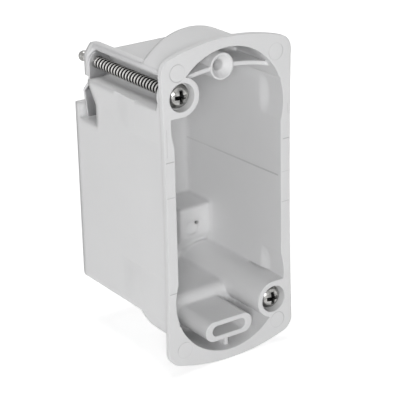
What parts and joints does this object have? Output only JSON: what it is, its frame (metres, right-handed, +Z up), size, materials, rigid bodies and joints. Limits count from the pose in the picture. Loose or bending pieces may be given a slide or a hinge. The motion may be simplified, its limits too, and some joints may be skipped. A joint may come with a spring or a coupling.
{
  "type": "cavity wall switch box",
  "caption": "Single-gang moulded switch box for a hollow wall, with arched flange and two screw-driven swing clamps.",
  "frame": {"origin": "middle of the flange's rear face, the plane that lies on the wall board", "axes": "+Z up, -Y out of the open front towards the room, +Y into the wall, +X to the right seen from the front"},
  "size_m": [0.0464, 0.0562, 0.1032],
  "materials": {
    "box_plastic": "satin moulded",
    "plated_screw": "bright plated",
    "clamp_steel": "dull zinc plated"
  },
  "bodies": {
    "box": {"box_body": "box_plastic"},
    "left_screw": {"clamp_screw_left": "plated_screw"},
    "right_screw": {"clamp_screw_right": "plated_screw"},
    "left_clamp": {"swing_clamp_left": "clamp_steel"},
    "right_clamp": {"swing_clamp_right": "clamp_steel"}
  },
  "joints": [
    {"name": "left_screw_turn", "type": "hinge", "parent": "box", "child": "left_screw", "pos_m": [-0.0162, 0, 0.03635], "axis": [0, 1, 0], "continuous": true},
    {"name": "left_clamp_swing", "type": "hinge", "parent": "box", "child": "left_clamp", "pos_m": [-0.0162, 0, 0.03635], "axis": [0, 1, 0], "range_deg": [0, 90]},
    {"name": "right_screw_turn", "type": "hinge", "parent": "box", "child": "right_screw", "pos_m": [0.0162, 0, -0.03635], "axis": [0, 1, 0], "continuous": true},
    {"name": "right_clamp_swing", "type": "hinge", "parent": "box", "child": "right_clamp", "pos_m": [0.0162, 0, -0.03635], "axis": [0, 1, 0], "range_deg": [0, 90]}
  ]
}
